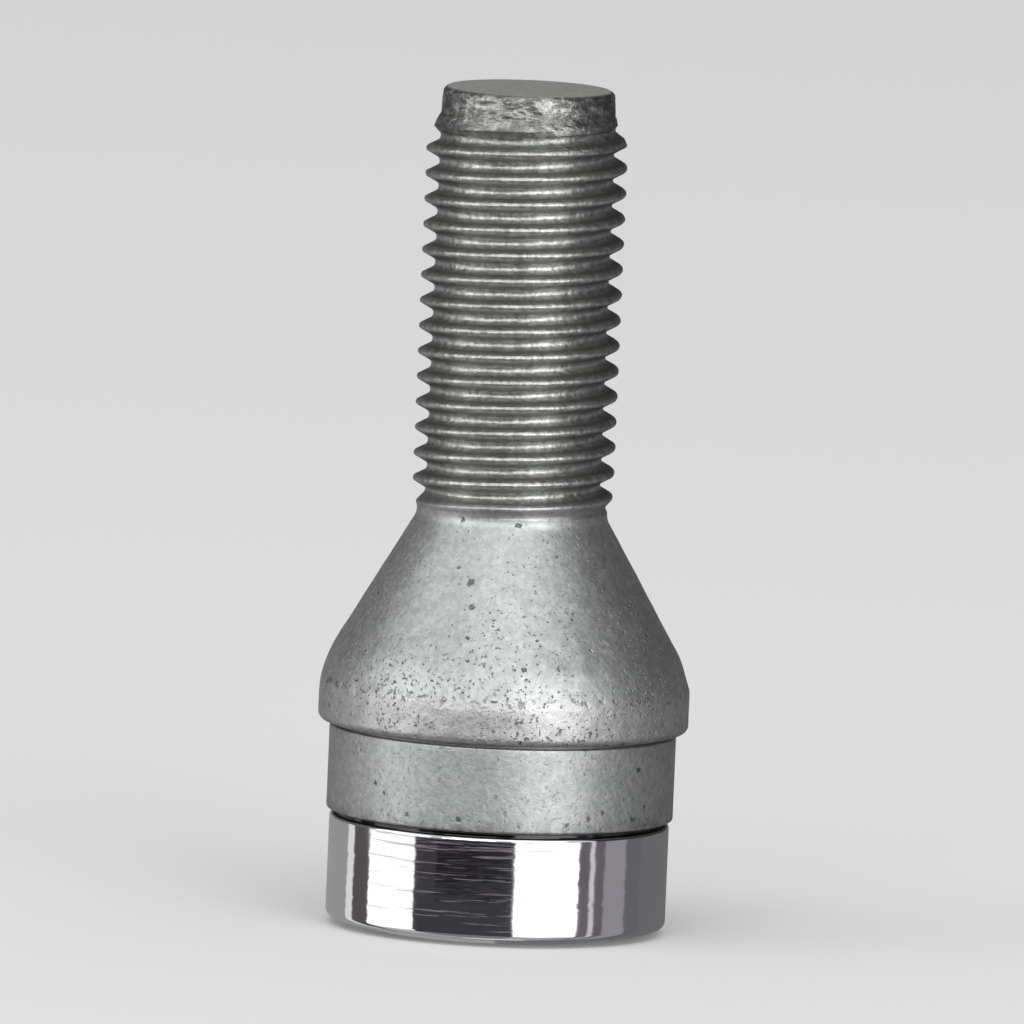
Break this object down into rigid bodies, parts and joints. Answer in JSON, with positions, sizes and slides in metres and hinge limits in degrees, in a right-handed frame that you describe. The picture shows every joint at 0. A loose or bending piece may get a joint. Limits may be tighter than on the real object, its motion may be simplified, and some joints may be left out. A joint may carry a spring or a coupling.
{
  "type": "locking wheel bolt",
  "caption": "Locking wheel bolt with a round chrome head, a wavy key groove in its face, a 60 degree cone seat and an M12 x 1.5 thread.",
  "frame": {"origin": "centre of the head's flat face, which the bolt stands on", "axes": "+Z along the bolt's axis, from the head's face to the tip of the thread; +X and +Y have no meaning of their own"},
  "size_m": [0.0218, 0.0218, 0.0497],
  "materials": {
    "zinc_flake": "satin grey zinc flake coat with fine dark specks, rough on the forged lip",
    "chrome": "bright chrome plate over fine turning marks, on the head's side and face"
  },
  "bodies": {
    "root": {"wheel_bolt": "zinc_flake"}
  },
  "joints": []
}
